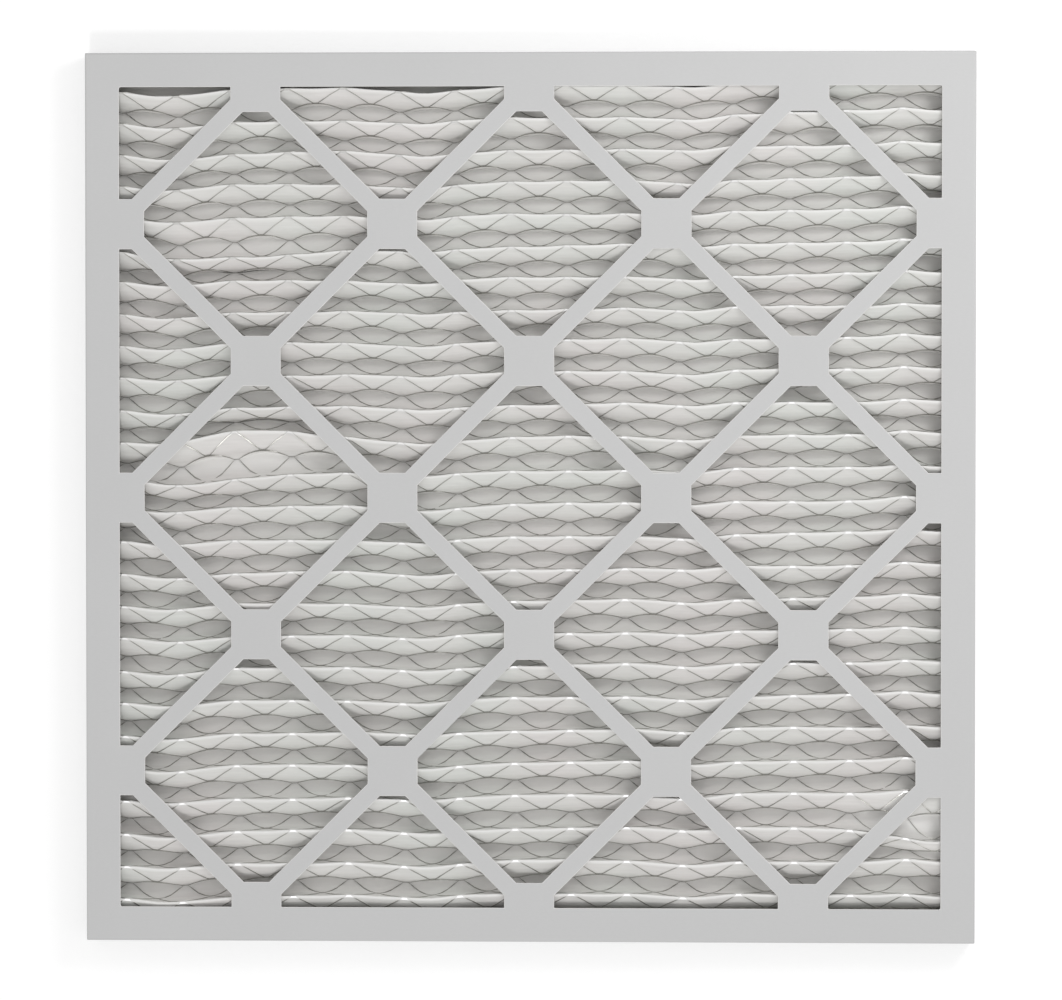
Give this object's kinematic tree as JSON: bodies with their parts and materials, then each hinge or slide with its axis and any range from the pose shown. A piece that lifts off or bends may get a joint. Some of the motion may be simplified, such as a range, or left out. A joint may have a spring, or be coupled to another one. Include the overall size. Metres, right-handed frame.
{
  "type": "pleated panel air filter",
  "caption": "Square pleated panel air filter: metal-backed folded media between two nested die-cut board frames with diamond windows.",
  "frame": {"origin": "middle of the rear face, which the filter lies on", "axes": "+Z out of the front face on the support grid's side, X along the pleats, Y across them"},
  "size_m": [0.4952, 0.4952, 0.0191],
  "materials": {
    "frame_board": "clay-coated light grey board, satin",
    "filter_media": "pale grey nonwoven, matte",
    "galvanised_grid": "dull galvanised strands",
    "edge_adhesive": "set hot-melt adhesive"
  },
  "bodies": {
    "root": {"front_frame": "frame_board", "rear_frame": "frame_board", "pleated_media": "filter_media", "support_grid": "galvanised_grid", "seal_left": "edge_adhesive", "seal_right": "edge_adhesive", "seal_top": "edge_adhesive", "seal_bottom": "edge_adhesive"}
  },
  "joints": []
}
